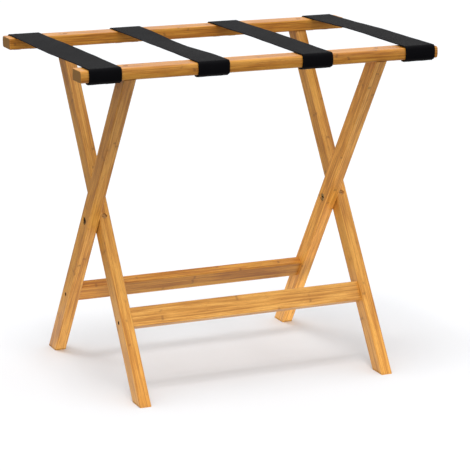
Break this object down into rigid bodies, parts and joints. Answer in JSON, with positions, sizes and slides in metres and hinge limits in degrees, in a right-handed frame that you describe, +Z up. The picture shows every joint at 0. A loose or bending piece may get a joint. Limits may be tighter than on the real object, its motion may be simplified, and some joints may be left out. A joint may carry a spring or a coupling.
{
  "type": "folding luggage rack",
  "caption": "Folding bamboo luggage rack: crossed frames on a common pivot hold a suitcase on black webbing straps and fold flat for storage.",
  "frame": {"origin": "on the floor, midway between the feet, under the pivot axis", "axes": "+X along the rails to the right, +Y to the back, +Z up"},
  "size_m": [0.6, 0.3756, 0.5356],
  "materials": {
    "bamboo": "clear lacquered laminated bamboo, satin",
    "dowel_wood": "plain beech",
    "plug_wood": "lacquered side-grain plugs, a little redder than the bamboo",
    "webbing": "woven black polypropylene webbing, matt",
    "pivot_steel": "antique brass plated",
    "screw_steel": "yellow zinc plated",
    "staple_wire": "galvanised wire",
    "washer_nylon": "black nylon"
  },
  "bodies": {
    "front_frame": {"front_frame_left_leg": "bamboo", "front_frame_right_leg": "bamboo", "front_rail": "bamboo", "front_frame_stretcher": "bamboo", "front_frame_rail_plugs": "plug_wood", "front_frame_rail_dowels": "dowel_wood", "front_frame_rail_screws": "screw_steel", "front_frame_stretcher_dowels": "dowel_wood", "front_frame_stretcher_screws": "screw_steel", "front_frame_strap_staples": "staple_wire", "outer_left_strap": "webbing", "inner_left_strap": "webbing", "inner_right_strap": "webbing", "outer_right_strap": "webbing"},
    "rear_frame": {"rear_frame_left_leg": "bamboo", "rear_frame_right_leg": "bamboo", "rear_rail": "bamboo", "rear_frame_stretcher": "bamboo", "rear_frame_rail_plugs": "plug_wood", "rear_frame_rail_dowels": "dowel_wood", "rear_frame_rail_screws": "screw_steel", "rear_frame_stretcher_dowels": "dowel_wood", "rear_frame_stretcher_screws": "screw_steel", "rear_frame_strap_staples": "staple_wire", "left_pivot_bolt": "pivot_steel", "left_pivot_barrel_nut": "pivot_steel", "left_pivot_washer": "washer_nylon", "right_pivot_bolt": "pivot_steel", "right_pivot_barrel_nut": "pivot_steel", "right_pivot_washer": "washer_nylon"}
  },
  "joints": [
    {"name": "fold", "type": "hinge", "parent": "front_frame", "child": "rear_frame", "pos_m": [0, 0, 0.259], "axis": [1, 0, 0], "range_deg": [0, 56], "deforming": ["outer_left_strap", "inner_left_strap", "inner_right_strap", "outer_right_strap"]}
  ]
}
